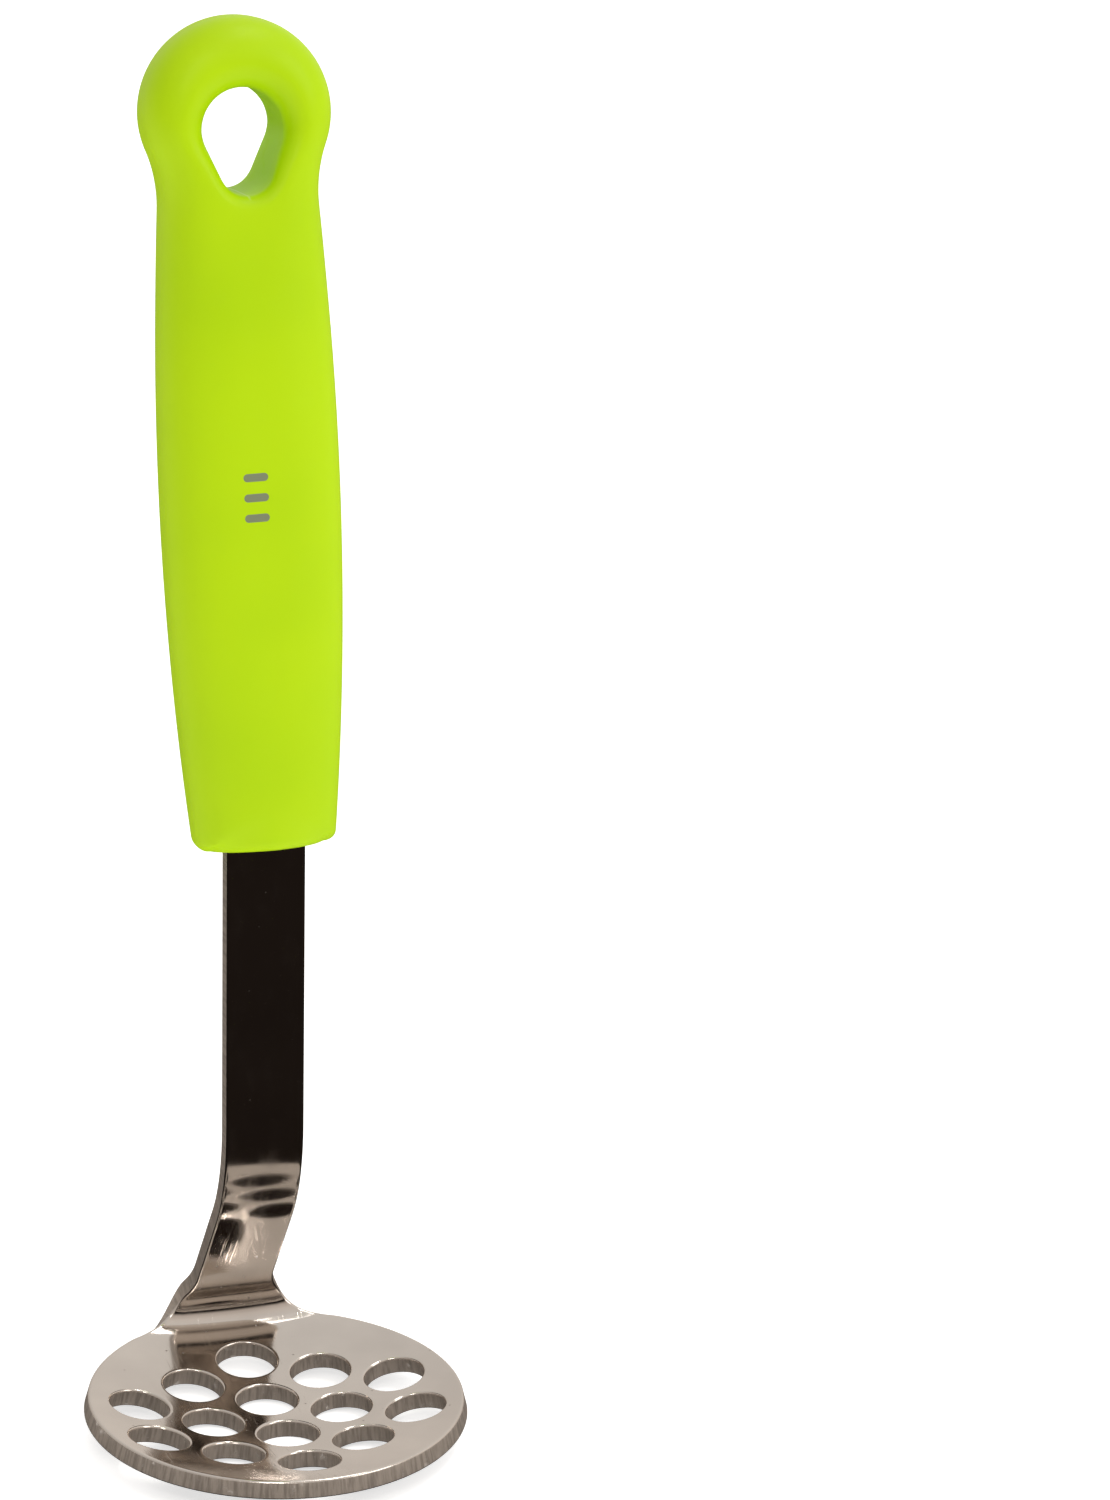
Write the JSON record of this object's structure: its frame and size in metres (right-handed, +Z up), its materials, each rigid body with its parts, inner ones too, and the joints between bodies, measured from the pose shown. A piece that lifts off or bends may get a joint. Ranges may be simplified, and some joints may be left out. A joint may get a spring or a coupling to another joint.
{
  "type": "hand masher",
  "caption": "Small hand masher: a perforated, dished steel head bent up from one strip into a plastic handle with a hanging hole.",
  "frame": {"origin": "on the surface that the head presses on, under the middle of the object's bounding box", "axes": "+Z up along the upright shank, -Y towards the user and the front of the head, +X to the right; symmetric about X = 0"},
  "size_m": [0.0504, 0.0602, 0.1851],
  "materials": {
    "steel": "polished stainless steel, slightly brown in reflection",
    "handle_plastic": "satin, lime green"
  },
  "bodies": {
    "root": {"blade": "steel", "handle": "handle_plastic"}
  },
  "joints": []
}
